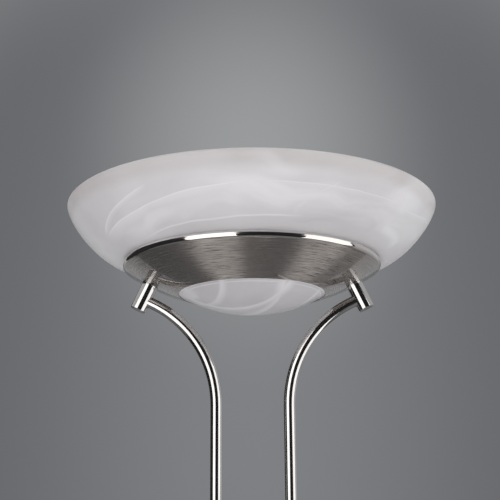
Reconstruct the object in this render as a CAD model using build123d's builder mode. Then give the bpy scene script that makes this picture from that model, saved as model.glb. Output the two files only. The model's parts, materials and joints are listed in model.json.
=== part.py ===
"""Torchiere floor lamp with a reading light.

Twin tubes rise from a weighted base, part in two wide bends and carry a shallow glass bowl in a
brushed pan.  A reading arm swings from a bar between the tubes, above a box with two dimmers.

Millimetres.  +Z up, the lamp stands on z = 0, the stem's centre line is the Z axis, front is -Y.
"""

from build123d import *
import os
from math import asin, atan, cos, degrees, radians, sin, tan

os.makedirs("parts", exist_ok=True)

# ---------------------------------------------------------------- driving dimensions
rim_height = 1800.0          # floor to the rim of the bowl

# clearances
slip = 0.05                  # radial, a tube or pin in its bore
thread_slip = 0.2            # radial, a threaded nipple in a sheet hole
seat_gap = 0.3               # a curved face that seats on another
turn_gap = 0.2               # beside a tongue or a turning face

# glass bowl, heights measured down from its rim
bowl_radius = 190.0
bowl_depth = 56.0            # rim to the foot
bowl_foot_radius = 131.2
bowl_wall = 4.0
bowl_swell = 2.2             # the side bulges past the rim
bowl_swell_drop = 7.7
bowl_foot_reach = 32.8       # how far out the flat foot starts to curve up
bowl_foot_rise = 3.3
bowl_heel = 4.6              # heel that drops inside the pan's lip
bowl_heel_gap = 1.5          # between the heel and the lip
bowl_hole_radius = 88.0
bowl_rim_bevel = 1.2

# brushed pan
pan_radius = 132.3
pan_drop = 58.8              # rim of the bowl to the pan's upper edge
pan_lip = 3.9
pan_slope = 24.4             # degrees, the wall from mouth to lip
pan_crown = 2.2              # how far the wall bulges out between them
pan_mouth_radius = 75.5
pan_sheet = 1.0
pan_shoulder_radius = 4.0    # rounding from the lip to the wall

# lower glass
lens_radius = 74.8           # where it leaves the pan's mouth
lens_sag = 19.5
lens_wall = 3.0
lens_flange = 8.0            # width that lies on the pan, inside

# seat ring inside the pan, and the pads that carry the bowl
seat_inner_radius = 95.0
seat_outer_radius = 125.5
seat_step_radius = 115.0
seat_step_lean = 1.0         # the step leans outwards
seat_sheet = 1.2
pad_height = 2.0
pad_length = 12.0
pad_width = 7.0
pad_pitch_radius = 120.0
pad_count = 4

# turned knuckles, each clamped to the pan by a threaded nipple
knuckle_radius = 8.5
knuckle_length = 28.8
knuckle_pitch_radius = 105.0
knuckle_bevel = 0.8
tube_entry = 16.7            # pan to the tube's axis, along the knuckle
tube_end_gap = 3.6           # tube's end to the knuckle's axis, the wires' way
nipple_radius = 5.0
nipple_bore_radius = 3.5
nipple_depth = 9.0           # screwed into a knuckle or a socket
nut_width = 14.0             # across flats
nut_height = 3.5
washer_radius = 9.0
washer_sheet = 1.0

# twin tubes
tube_radius = 6.0
tube_wall = 1.0
tube_spacing = 73.0
bend_radius = 115.0
lower_joint = 640.0          # heights of the joints between the tube lengths
upper_joint = 1252.0
joint_gap = 0.3
coupler_radius = 7.5
coupler_length = 26.0

# base
base_radius = 140.0
base_edge = 1.5              # cover's edge above the floor
base_lip_top = 13.0
base_slope = 12.0            # degrees
base_flat_radius = 60.0
base_sheet = 1.2
base_lip_rounding = 2.0
base_crown_rounding = 30.0
pad_disc_height = 2.0
pad_disc_inset = 5.0
weight_gap = 0.6
weight_edge_gap = 1.8
weight_top_step = 3.0        # flat top inside the cover's rounding
weight_recess_radius = 56.0
weight_recess_top = 16.0
channel_width = 7.0          # for the flex, from the rear edge to the recess
channel_length = 110.0
channel_top = 10.2
socket_length = 27.0
socket_tube_depth = 14.0
nipple_run_out = 0.5         # a bore past its nipple's end
nipple_stand_out = 2.0       # a nipple past its nut
gland_height = 6.9
gland_radius = 4.5
gland_neck_radius = 3.6
gland_bore_radius = 2.7      # for a two-core flex
gland_flange = 1.2

# dimmer box
box_level = 1150.0           # underside
box_height = 52.0
box_depth = 34.0
box_wall = 4.0
box_cavity_width = 42.0
box_bevel = 1.5
box_lid_width = 58.0
box_lid_sheet = 1.5
box_lid_margin = 3.0         # lid past the cavity, above and below
box_screw_spacing = 50.4
box_screw_radius = 1.5
box_screw_head_radius = 2.7
box_screw_head = 1.6
box_screw_length = 9.0
lid_fit = 0.15
lid_corner = 3.0
knob_spacing = 26.0
knob_radius = 10.5
knob_length = 14.0
knob_gap = 0.8               # behind the knob
knob_recess_radius = 6.8
knob_recess_depth = 3.6
knob_grip_count = 18
knob_grip_radius = 0.9
knob_crown = 0.8             # low bevelled crown on the front
knob_crown_inset = 1.8
knob_mark_length = 5.0
knob_mark_width = 1.2
knob_mark_depth = 0.6
knob_bore_gap = 0.5          # past the spindle's end
spindle_radius = 2.0
spindle_length = 18.0
spindle_seat = 3.0           # its end inside the dimmer
spindle_fit = 0.02
spindle_run_out = 1.0        # dimmer's bore past the spindle's end
bushing_radius = 3.5
bushing_length = 6.6
bushing_nut_width = 9.0
bushing_nut_height = 1.8
dimmer_width = 15.0
dimmer_depth = 12.0
dimmer_height = 19.0
dimmer_corner = 1.0

# reading arm
bar_level = 1300.0           # underside of the bar
bar_height = 20.0
bar_end_radius = 11.0
bar_bevel = 1.2
bar_screw_radius = 2.0       # set screws at the back, hexagon socket
bar_screw_socket = 1.0
bar_screw_inset = 0.4
post_forward = 26.0          # post in front of the tubes
post_radius = 6.0
post_collar_radius = 10.0
post_collar_height = 3.0
post_nut_height = 5.0
post_nut_width = 19.0
post_tip = 1.5               # post past its nut
hinge_rise = 21.0            # bar's top to the arm's hinge
eye_radius = 10.0
tongue_width = 8.0
cheek_width = 4.5
pivot_radius = 3.0
pivot_head_radius = 5.0
pivot_head_height = 2.5
ferrule_radius = 7.0
ferrule_start = 13.0         # from the hinge
ferrule_length = 19.0
ferrule_depth = 14.0
arm_tube_radius = 5.0
arm_tube_wall = 1.0
arm_rise = 35.0              # degrees, where the arm leaves the hinge
arm_fall = 30.0              # degrees, where it reaches the head
arm_bend_radius = 220.0
arm_first_run = 70.0         # from the hinge
arm_last_run = 40.0          # to the head's hinge

# reading head, heights measured down from its hinge
cap_drop = 18.0
cap_radius = 22.0
cap_height = 38.0
cap_sheet = 1.2
cap_rounding = 7.0
shade_top = 46.0
shade_neck_radius = 19.6
shade_neck_length = 12.0
shade_radius = 58.0
shade_bottom = 112.0
shade_lip = 7.0              # how steeply the flare ends
shade_curl = 26.0
shade_wall = 3.0
shade_hole_radius = 14.5
holder_radius = 13.9
holder_flange_radius = 17.5
holder_flange = 2.0
holder_length = 38.0
holder_bore_radius = 7.4
holder_body = 18.0           # above its flange
holder_bevel = 2.0
holder_floor = 12.0          # ceramic above the bore
holder_boss_radius = 6.5     # carries the holder under the cap
ring_height = 4.0
ring_gap = 0.4               # between the ring and the shade's neck
bulb_radius = 20.0
bulb_bottom = 104.0
bulb_cap_radius = 6.9
bulb_neck_gap = 1.0          # glass starts this far below the holder
bulb_contact_radius = 3.5
bulb_contact_drop = 4.0
bulb_cone = 50.0             # degrees, where the neck's cone meets the ball

# halogen lamp on its bracket, in the bowl
bracket_width = 22.0
bracket_sheet = 1.5
bracket_bend = 3.0
bracket_half_span = 82.0
bracket_drop = 52.0          # rim to its flat top
bracket_foot = 8.0           # past the nipple's axis
bracket_foot_margin = 1.5    # foot past the washer, inwards
bracket_leg_splay = 2.0      # the legs lean out towards the feet
bracket_leg_rise = 10.0      # from the foot's fold to the leg's own fold
block_length = 15.0          # ceramic end blocks
block_width = 18.0
block_height = 21.0
lamp_length = 114.2
lamp_radius = 5.0
lamp_seal_radius = 3.8
lamp_seal_length = 12.0
lamp_pinch = 3.0             # each end inside its block
lamp_pinch_gap = 0.6
lamp_rise = 14.5             # bracket's top to the lamp's axis
block_screw_radius = 1.5
block_screw_depth = 6.0
block_screw_head_radius = 2.8
block_screw_head = 2.0
block_corner = 2.0

# ---------------------------------------------------------------- worked out
tube_x = tube_spacing / 2
pan_top = rim_height - pan_drop
pan_corner = pan_top - pan_lip
slope = radians(pan_slope)
pan_rise = pan_sheet / cos(slope)
wall_width = pan_radius - pan_mouth_radius
wall_bow = 8 * pan_crown / cos(slope) / wall_width**2
base_rise = tan(radians(base_slope))
base_top = base_lip_top + (base_radius - base_flat_radius) * base_rise
bar_top = bar_level + bar_height
arm_hinge = Vector(0, -post_forward, bar_top + hinge_rise)
fork_width = tongue_width + 2 * turn_gap + 2 * cheek_width
bowl_heel_bottom = rim_height - bowl_depth - bowl_heel
seat_top = bowl_heel_bottom - pad_height


def wall_level(radius):
    """height of the pan's outer skin: a parabola that hangs below the line from mouth to lip"""
    from_mouth = radius - pan_mouth_radius
    from_lip = pan_radius - radius
    return pan_corner - from_lip * tan(slope) - wall_bow / 2 * from_mouth * from_lip


def wall_tilt(radius):
    """slope of the pan's wall at a radius, as a rise over a run"""
    return tan(slope) - wall_bow / 2 * (pan_radius + pan_mouth_radius - 2 * radius)


def wall_curve(inner_radius, outer_radius, rise=0.0):
    """the pan's wall between two radii, raised by some height"""
    middle = (inner_radius + outer_radius) / 2
    corner = wall_level(inner_radius) + wall_tilt(inner_radius) * (middle - inner_radius)
    return Bezier((inner_radius, wall_level(inner_radius) + rise), (middle, corner + rise),
                  (outer_radius, wall_level(outer_radius) + rise))


def cover_under(radius):
    """height of the base cover's inner skin"""
    return base_lip_top + (base_radius - radius) * base_rise - base_sheet / cos(radians(base_slope))


def sheet_section(points, rounding, sheet):
    """section of a folded sheet: the points run along one skin, the sheet lies on their left"""
    with BuildSketch() as section:
        with BuildLine():
            if rounding:
                FilletPolyline(*points, radius=rounding)
            else:
                Polyline(*points)
            offset(amount=sheet, side=Side.LEFT, closed=True)
        make_face()
    return section.sketch


knuckle_slope = atan(wall_tilt(knuckle_pitch_radius))


def knuckle_plane(side):
    """plane on the pan's skin under a knuckle, its normal along the knuckle, away from the pan"""
    contact = (side * knuckle_pitch_radius, 0, wall_level(knuckle_pitch_radius))
    return Plane(origin=contact, x_dir=(0, side, 0),
                 z_dir=(side * sin(knuckle_slope), 0, -cos(knuckle_slope)))


def tube_plane(side):
    """plane on a knuckle's axis where the tube meets it, its normal back along the tube"""
    origin = knuckle_plane(side).offset(tube_entry).origin
    return Plane(origin=origin, x_dir=(0, side, 0),
                 z_dir=(-side * cos(knuckle_slope), 0, -sin(knuckle_slope)))


def finish(builder, name):
    """label a finished piece and write it"""
    builder.part.label = name
    export_step(builder.part, "parts/" + name + ".step")


def ring_stack(name, planes, outer, inner, height, hexagon=False):
    """one node of equal washers, nuts or nipples, one standing on each plane"""
    with BuildPart() as rings:
        for plane in planes:
            with BuildSketch(plane):
                if hexagon:
                    RegularPolygon(radius=outer, side_count=6, major_radius=False)
                else:
                    Circle(outer)
                Circle(inner, mode=Mode.SUBTRACT)
            extrude(amount=height)
    finish(rings, name)


sides = {"left": -1, "right": 1}
stem_points = [(-tube_x, 0), (tube_x, 0)]

# ---------------------------------------------------------------- base
with BuildPart() as base_pad:
    with BuildSketch():
        Circle(base_radius - pad_disc_inset)
    extrude(amount=pad_disc_height)
finish(base_pad, "base_pad")

weight_radius = base_radius - base_sheet - weight_edge_gap
with BuildPart() as base_weight:
    with BuildSketch(Plane.XZ):
        with BuildLine():
            Polyline(
                (0, weight_recess_top),
                (weight_recess_radius, weight_recess_top),
                (weight_recess_radius, pad_disc_height),
                (weight_radius, pad_disc_height),
                (weight_radius, cover_under(weight_radius) - weight_gap),
                (base_flat_radius, cover_under(base_flat_radius) - weight_gap),
                (base_flat_radius - weight_top_step, base_top - base_sheet),
                (0, base_top - base_sheet),
                close=True,
            )
        make_face()
    revolve(axis=Axis.Z)
    with BuildSketch():
        with Locations(*stem_points):
            Circle(nipple_radius + thread_slip)
    extrude(amount=base_top, mode=Mode.SUBTRACT)
    with BuildSketch(Plane.XY.offset(pad_disc_height)):
        with Locations((0, weight_radius)):
            Rectangle(channel_width, 2 * channel_length)
    extrude(amount=channel_top - pad_disc_height, mode=Mode.SUBTRACT)
finish(base_weight, "base_weight")

with BuildPart() as base_cover:
    with BuildSketch(Plane.XZ):
        add(
            sheet_section(
                [
                    (base_radius, base_edge),
                    (base_radius, base_lip_top),
                    (base_flat_radius, base_top),
                    (0, base_top),
                ],
                [base_lip_rounding, base_crown_rounding],
                base_sheet,
            )
        )
    revolve(axis=Axis.Z)
    with BuildSketch():
        with Locations(*stem_points):
            Circle(nipple_radius + thread_slip)
    extrude(amount=base_top + 1, mode=Mode.SUBTRACT)
    with BuildSketch(Plane.XZ.offset(-base_radius - 1)):
        with Locations((0, gland_height)):
            Circle(gland_neck_radius + slip)
    extrude(amount=5, mode=Mode.SUBTRACT)
finish(base_cover, "base_cover")

with BuildPart() as cable_gland:
    with BuildSketch(Plane.XZ.offset(-base_radius - gland_flange)):
        with Locations((0, gland_height)):
            Circle(gland_radius)
    extrude(amount=gland_flange)
    with BuildSketch(Plane.XZ.offset(-base_radius)):
        with Locations((0, gland_height)):
            Circle(gland_neck_radius)
    extrude(amount=base_sheet + gland_flange)
    chamfer(faces().sort_by(Axis.Y)[-1].edges(), length=0.4)
    with BuildSketch(Plane.XZ.offset(-base_radius - gland_flange)):
        with Locations((0, gland_height)):
            Circle(gland_bore_radius)
    extrude(amount=10, mode=Mode.SUBTRACT)
finish(cable_gland, "cable_gland")

for side_name, side in sides.items():
    with BuildPart() as base_socket:
        with BuildSketch(Plane.XY.offset(base_top)):
            with Locations((side * tube_x, 0)):
                Circle(knuckle_radius)
        extrude(amount=socket_length)
        chamfer(faces().sort_by(Axis.Z)[-1].edges(), length=knuckle_bevel)
        with BuildSketch(Plane.XY.offset(base_top)):
            with Locations((side * tube_x, 0)):
                Circle(nipple_bore_radius)
        extrude(amount=socket_length, mode=Mode.SUBTRACT)
        with BuildSketch(Plane.XY.offset(base_top)):
            with Locations((side * tube_x, 0)):
                Circle(nipple_radius + slip)
        extrude(amount=nipple_depth + nipple_run_out, mode=Mode.SUBTRACT)
        with BuildSketch(Plane.XY.offset(base_top + socket_length)):
            with Locations((side * tube_x, 0)):
                Circle(tube_radius + slip)
        extrude(amount=-socket_tube_depth, mode=Mode.SUBTRACT)
    finish(base_socket, "base_socket_" + side_name)


def stem_planes(height):
    """a level plane on each tube's axis"""
    return [Plane(origin=(x, y, height)) for x, y in stem_points]


base_nut_level = weight_recess_top - washer_sheet - nut_height
base_nipple_level = base_nut_level - nipple_stand_out
ring_stack("base_washers", stem_planes(weight_recess_top - washer_sheet), washer_radius,
           nipple_radius + slip, washer_sheet)
ring_stack("base_nuts", stem_planes(base_nut_level), nut_width / 2, nipple_radius + slip, nut_height,
           hexagon=True)
ring_stack("base_nipples", stem_planes(base_nipple_level), nipple_radius, nipple_bore_radius,
           base_top + nipple_depth - base_nipple_level)

# ---------------------------------------------------------------- twin tubes
lower_tube_bottom = base_top + socket_length - socket_tube_depth
tube_spans = {
    "tube_lower": (lower_tube_bottom, lower_joint - joint_gap / 2),
    "tube_middle": (lower_joint + joint_gap / 2, upper_joint - joint_gap / 2),
}
for tube_name, (bottom, top) in tube_spans.items():
    for side_name, side in sides.items():
        with BuildPart() as straight_tube:
            with BuildSketch(Plane.XY.offset(bottom)):
                with Locations((side * tube_x, 0)):
                    Circle(tube_radius)
                    Circle(tube_radius - tube_wall, mode=Mode.SUBTRACT)
            extrude(amount=top - bottom)
        finish(straight_tube, tube_name + "_" + side_name)

# each upper tube: straight up, one wide bend outwards, and a short run square into its knuckle
bend_angle = 90 - degrees(knuckle_slope)
entry = tube_plane(1).origin
last_run = (entry.X - tube_x - bend_radius * (1 - cos(radians(bend_angle)))) / cos(knuckle_slope)
bend_start = entry.Z - last_run * sin(knuckle_slope) - bend_radius * sin(radians(bend_angle))
for side_name, side in sides.items():
    with BuildPart() as tube_upper:
        with BuildLine(Plane.XZ) as route:
            rise = Line((side * tube_x, upper_joint + joint_gap / 2), (side * tube_x, bend_start))
            bend = JernArc(start=rise @ 1, tangent=rise % 1, radius=bend_radius,
                           arc_size=-side * bend_angle)
            reach = last_run - tube_end_gap
            Line(bend @ 1, bend @ 1 + (bend % 1) * reach)
        with BuildSketch(Plane(origin=route.line @ 0, z_dir=route.line % 0)):
            Circle(tube_radius)
            Circle(tube_radius - tube_wall, mode=Mode.SUBTRACT)
        sweep()
    finish(tube_upper, "tube_upper_" + side_name)

with BuildPart() as tube_couplers:
    for joint in (lower_joint, upper_joint):
        with BuildSketch(Plane.XY.offset(joint - coupler_length / 2)):
            with Locations(*stem_points):
                Circle(coupler_radius)
                Circle(tube_radius + slip, mode=Mode.SUBTRACT)
        extrude(amount=coupler_length)
    chamfer(edges().filter_by(GeomType.CIRCLE).filter_by(lambda e: e.radius == coupler_radius),
            length=knuckle_bevel)
finish(tube_couplers, "tube_couplers")

# ---------------------------------------------------------------- dimmer box
box_middle = box_level + box_height / 2
cavity_height = box_height - 2 * (box_wall + box_lid_margin)
front_face = -box_depth / 2
cavity_front = front_face + box_wall
lid_inside = box_depth / 2 - box_lid_sheet
knob_points = {"main": -knob_spacing / 2, "reading": knob_spacing / 2}
screw_points = [(-box_screw_spacing / 2, box_middle), (box_screw_spacing / 2, box_middle)]

with BuildPart() as dimmer_box:
    with BuildSketch(Plane.XY.offset(box_level)):
        SlotCenterToCenter(tube_spacing, box_depth)
    extrude(amount=box_height)
    chamfer(faces().sort_by(Axis.Z)[0].edges() + faces().sort_by(Axis.Z)[-1].edges(), length=box_bevel)
    with BuildSketch(Plane.XY.offset(box_level)):
        with Locations(*stem_points):
            Circle(tube_radius + slip)
    extrude(amount=box_height, mode=Mode.SUBTRACT)
    with BuildSketch(Plane.XZ.offset(-lid_inside)):
        with Locations((0, box_middle)):
            Rectangle(box_cavity_width, cavity_height)
    extrude(amount=lid_inside - cavity_front, mode=Mode.SUBTRACT)
    with BuildSketch(Plane.XZ.offset(-box_depth / 2)):
        with Locations((0, box_middle)):
            RectangleRounded(box_lid_width, cavity_height + 2 * box_lid_margin, lid_corner)
    extrude(amount=box_lid_sheet, mode=Mode.SUBTRACT)
    with BuildSketch(Plane.XZ.offset(-front_face)):
        with Locations(*[(x, box_middle) for x in knob_points.values()]):
            Circle(bushing_radius + slip)
    extrude(amount=-box_wall, mode=Mode.SUBTRACT)
    with BuildSketch(Plane.XZ.offset(-lid_inside)):
        with Locations(*screw_points):
            Circle(box_screw_radius + slip)
    extrude(amount=box_screw_length, mode=Mode.SUBTRACT)
finish(dimmer_box, "dimmer_box")

with BuildPart() as box_lid:
    with BuildSketch(Plane.XZ.offset(-box_depth / 2)):
        with Locations((0, box_middle)):
            RectangleRounded(box_lid_width - 2 * lid_fit, cavity_height + 2 * (box_lid_margin - lid_fit),
                             lid_corner - lid_fit)
        with Locations(*screw_points):
            Circle(box_screw_radius + slip, mode=Mode.SUBTRACT)
    extrude(amount=box_lid_sheet)
finish(box_lid, "box_lid")

with BuildPart() as box_screws:
    for x, z in screw_points:
        with BuildSketch(Plane.XZ.offset(-box_depth / 2)):
            with Locations((x, z)):
                Circle(box_screw_radius)
        extrude(amount=box_screw_length)
        with BuildSketch(Plane.XZ.offset(-box_depth / 2)):
            with Locations((x, z)):
                Circle(box_screw_head_radius)
        extrude(amount=-box_screw_head)
    chamfer(faces().filter_by(Axis.Y).group_by(Axis.Y)[-1].edges(), length=box_screw_head / 3)
finish(box_screws, "box_screws")

for knob_name, knob_x in knob_points.items():
    with BuildPart() as dimmer:
        with BuildSketch(Plane.XZ.offset(-cavity_front)):
            with Locations((knob_x, box_middle)):
                Rectangle(dimmer_width, dimmer_height)
        extrude(amount=-dimmer_depth)
        fillet(edges().filter_by(Axis.Y), radius=dimmer_corner)
        with BuildSketch(Plane.XZ.offset(-cavity_front)):
            with Locations((knob_x, box_middle)):
                Circle(bushing_radius)
        extrude(amount=bushing_length)
        with BuildSketch(Plane.XZ.offset(-cavity_front + bushing_length)):
            with Locations((knob_x, box_middle)):
                Circle(spindle_radius + slip)
        extrude(amount=-bushing_length - spindle_seat - spindle_run_out, mode=Mode.SUBTRACT)
    finish(dimmer, "dimmer_" + knob_name)

    with BuildPart() as spindle:
        with BuildSketch(Plane.XZ.offset(-cavity_front - spindle_seat)):
            with Locations((knob_x, box_middle)):
                Circle(spindle_radius)
        extrude(amount=spindle_length)
    finish(spindle, "spindle_" + knob_name)

    knob_back = -front_face + knob_gap
    with BuildPart() as knob:
        with BuildSketch(Plane.XZ.offset(knob_back)):
            with Locations((knob_x, box_middle)):
                Circle(knob_radius)
                with PolarLocations(knob_radius + knob_grip_radius / 2, knob_grip_count):
                    Circle(knob_grip_radius, mode=Mode.SUBTRACT)
        extrude(amount=knob_length)
        with BuildSketch(Plane.XZ.offset(knob_back + knob_length)):
            with Locations((knob_x, box_middle)):
                Circle(knob_radius - knob_crown_inset)
        extrude(amount=knob_crown, taper=30)
        with BuildSketch(Plane.XZ.offset(knob_back)):
            with Locations((knob_x, box_middle)):
                Circle(knob_recess_radius)
        extrude(amount=knob_recess_depth, mode=Mode.SUBTRACT)
        with BuildSketch(Plane.XZ.offset(knob_back)):
            with Locations((knob_x, box_middle)):
                Circle(spindle_radius + spindle_fit)
        in_knob = spindle_length - spindle_seat - box_wall - knob_gap
        extrude(amount=in_knob + knob_bore_gap, mode=Mode.SUBTRACT)
        with BuildSketch(Plane.XZ.offset(knob_back + knob_length + knob_crown)):
            with Locations((knob_x, box_middle + knob_radius / 2)):
                SlotOverall(knob_mark_length, knob_mark_width, rotation=90)
        extrude(amount=-knob_mark_depth, mode=Mode.SUBTRACT)
    finish(knob, "knob_" + knob_name)

knob_planes = [Plane(origin=(x, front_face, box_middle), z_dir=(0, -1, 0)) for x in knob_points.values()]
ring_stack("bushing_nuts", knob_planes, bushing_nut_width / 2, bushing_radius + slip,
           bushing_nut_height, hexagon=True)

# ---------------------------------------------------------------- reading arm
with BuildPart() as arm_bar:
    with BuildSketch(Plane.XY.offset(bar_level)):
        with Locations(*stem_points, (0, -post_forward)):
            Circle(bar_end_radius)
        make_hull()
    extrude(amount=bar_height)
    chamfer(faces().sort_by(Axis.Z)[0].edges() + faces().sort_by(Axis.Z)[-1].edges(), length=bar_bevel)
    with BuildSketch(Plane.XY.offset(bar_level)):
        with Locations(*stem_points):
            Circle(tube_radius + slip)
        with Locations((0, -post_forward)):
            Circle(post_radius + slip)
    extrude(amount=bar_height, mode=Mode.SUBTRACT)
    with BuildSketch(Plane.XZ.offset(-bar_end_radius - 1)):
        with Locations(*[(x, bar_level + bar_height / 2) for x, y in stem_points]):
            Circle(bar_screw_radius)
    extrude(amount=bar_end_radius + 1 - tube_radius, mode=Mode.SUBTRACT)
finish(arm_bar, "arm_bar")

bar_screw_back = bar_end_radius - bar_screw_inset
bar_screw_planes = [Plane(origin=(x, bar_screw_back, bar_level + bar_height / 2), z_dir=(0, -1, 0))
                    for x, y in stem_points]
ring_stack("bar_screws", bar_screw_planes, bar_screw_radius - slip, bar_screw_socket,
           bar_screw_back - tube_radius - slip)

with BuildPart() as arm_post:
    with BuildSketch(Plane.XY.offset(bar_top)):
        with Locations((0, -post_forward)):
            Circle(post_collar_radius)
    extrude(amount=post_collar_height)
    with BuildSketch(Plane.YZ) as fork_side:
        with Locations((arm_hinge.Y, arm_hinge.Z)):
            Circle(eye_radius)
        with Locations((arm_hinge.Y, (arm_hinge.Z + bar_top) / 2)):
            Rectangle(2 * eye_radius - 5, hinge_rise)
    extrude(amount=fork_width / 2, both=True)
    with BuildSketch(Plane.XZ.offset(post_forward)):
        with Locations((0, arm_hinge.Z)):
            Rectangle(tongue_width + 2 * turn_gap, 2 * (eye_radius + 1))
    extrude(amount=2 * eye_radius, both=True, mode=Mode.SUBTRACT)
    with BuildSketch(Plane.YZ):
        with Locations((arm_hinge.Y, arm_hinge.Z)):
            Circle(pivot_radius + slip)
    extrude(amount=fork_width, both=True, mode=Mode.SUBTRACT)
    with BuildSketch(Plane.XY.offset(bar_top)):
        with Locations((0, -post_forward)):
            Circle(post_radius)
    extrude(amount=-(bar_height + turn_gap + post_nut_height + post_tip))
finish(arm_post, "arm_post")

post_nut_plane = Plane(origin=(0, -post_forward, bar_level - post_nut_height - turn_gap))
ring_stack("post_nut", [post_nut_plane], post_nut_width / 2, post_radius + slip, post_nut_height,
           hexagon=True)


def pivot(name, centre, width):
    """a hinge pin with a low round head on each cheek"""
    with BuildPart() as pin:
        with BuildSketch(Plane.YZ.offset(-width / 2 - pivot_head_height)):
            with Locations((centre.Y, centre.Z)):
                Circle(pivot_head_radius)
        extrude(amount=pivot_head_height)
        with BuildSketch(Plane.YZ.offset(width / 2)):
            with Locations((centre.Y, centre.Z)):
                Circle(pivot_head_radius)
        extrude(amount=pivot_head_height)
        with BuildSketch(Plane.YZ.offset(-width / 2)):
            with Locations((centre.Y, centre.Z)):
                Circle(pivot_radius)
        extrude(amount=width)
        outer_edges = faces().sort_by(Axis.X)[0].edges() + faces().sort_by(Axis.X)[-1].edges()
        chamfer(outer_edges, length=1.0)
    finish(pin, name)


pivot("arm_pivot", arm_hinge, fork_width)


def along(centre, angle, distance):
    """plane square to a direction in the arm's own plane, that far from a hinge;
    the angle is measured up from straight ahead"""
    ahead = Vector(0, -cos(radians(angle)), sin(radians(angle)))
    return Plane(origin=centre + ahead * distance, x_dir=(1, 0, 0), z_dir=ahead)


def hinge_plane(centre, angle):
    """plane across a hinge, its x towards the given direction, its normal along +X or -X"""
    ahead = Vector(0, -cos(radians(angle)), sin(radians(angle)))
    return Plane(origin=centre, x_dir=ahead, z_dir=(1, 0, 0))


with BuildPart() as arm_eye:
    with BuildSketch(hinge_plane(arm_hinge, arm_rise)):
        Circle(eye_radius)
        with Locations((ferrule_start / 2 + 1, 0)):
            Rectangle(ferrule_start + 2, 2 * eye_radius - 8)
    extrude(amount=tongue_width / 2, both=True)
    with BuildSketch(along(arm_hinge, arm_rise, ferrule_start)):
        Circle(ferrule_radius)
    extrude(amount=ferrule_length)
    with BuildSketch(hinge_plane(arm_hinge, arm_rise)):
        Circle(pivot_radius + slip)
    extrude(amount=tongue_width, both=True, mode=Mode.SUBTRACT)
    with BuildSketch(along(arm_hinge, arm_rise, ferrule_start + ferrule_length)):
        Circle(arm_tube_radius + slip)
    extrude(amount=-ferrule_depth, mode=Mode.SUBTRACT)
finish(arm_eye, "arm_eye")

# the arm's tube lies in the plane x = 0; u runs forward, v up, both from the arm's hinge
tube_start = ferrule_start + ferrule_length - ferrule_depth + 0.3
with BuildPart() as arm_tube:
    arm_plane = Plane(origin=arm_hinge, x_dir=(0, -1, 0), z_dir=(-1, 0, 0))
    with BuildLine(arm_plane) as arm_route:
        up = radians(arm_rise)
        down = radians(arm_fall)
        first = Line((tube_start * cos(up), tube_start * sin(up)),
                     (arm_first_run * cos(up), arm_first_run * sin(up)))
        arch = JernArc(start=first @ 1, tangent=first % 1, radius=arm_bend_radius,
                       arc_size=-(arm_rise + arm_fall))
        last = Line(arch @ 1, arch @ 1 + (arch % 1) * (arm_last_run - tube_start))
    with BuildSketch(Plane(origin=arm_route.line @ 0, z_dir=arm_route.line % 0)):
        Circle(arm_tube_radius)
        Circle(arm_tube_radius - arm_tube_wall, mode=Mode.SUBTRACT)
    sweep()
finish(arm_tube, "arm_tube")
head_hinge = arm_route.line @ 1 + (arm_route.line % 1) * tube_start

# the far fork looks back along the arm
with BuildPart() as head_fork:
    back = 180 - arm_fall
    with BuildSketch(hinge_plane(head_hinge, back)):
        Circle(eye_radius)
        with Locations((ferrule_start / 2 + 1, 0)):
            Rectangle(ferrule_start + 2, 2 * eye_radius - 6)
    extrude(amount=fork_width / 2, both=True)
    with BuildSketch(along(head_hinge, back, -eye_radius - 1)):
        Rectangle(tongue_width + 2 * turn_gap, 3 * eye_radius)
    extrude(amount=2 * (eye_radius + 1), mode=Mode.SUBTRACT)
    with BuildSketch(along(head_hinge, back, ferrule_start)):
        Circle(ferrule_radius)
    extrude(amount=ferrule_length)
    with BuildSketch(hinge_plane(head_hinge, back)):
        Circle(pivot_radius + slip)
    extrude(amount=fork_width, both=True, mode=Mode.SUBTRACT)
    with BuildSketch(along(head_hinge, back, ferrule_start + ferrule_length)):
        Circle(arm_tube_radius + slip)
    extrude(amount=-ferrule_depth, mode=Mode.SUBTRACT)
finish(head_fork, "head_fork")

pivot("head_pivot", head_hinge, fork_width)

# ---------------------------------------------------------------- reading head
head_axis = Axis(head_hinge, (0, 0, 1))
head_plane = Plane(origin=head_hinge, x_dir=(1, 0, 0), z_dir=(0, -1, 0))

with BuildPart() as reading_cap:
    with BuildSketch(head_plane):
        add(
            sheet_section(
                [
                    (cap_radius, -cap_drop - cap_height),
                    (cap_radius, -cap_drop),
                    (0, -cap_drop),
                ],
                cap_rounding,
                cap_sheet,
            )
        )
    revolve(axis=head_axis)
    with BuildSketch(hinge_plane(head_hinge, -90)):
        Circle(eye_radius)
        with Locations((cap_drop / 2, 0)):
            Rectangle(cap_drop + 1, 2 * eye_radius - 8)
    extrude(amount=tongue_width / 2, both=True)
    with BuildSketch(hinge_plane(head_hinge, -90)):
        Circle(pivot_radius + slip)
    extrude(amount=tongue_width, both=True, mode=Mode.SUBTRACT)
finish(reading_cap, "reading_cap")

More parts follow.
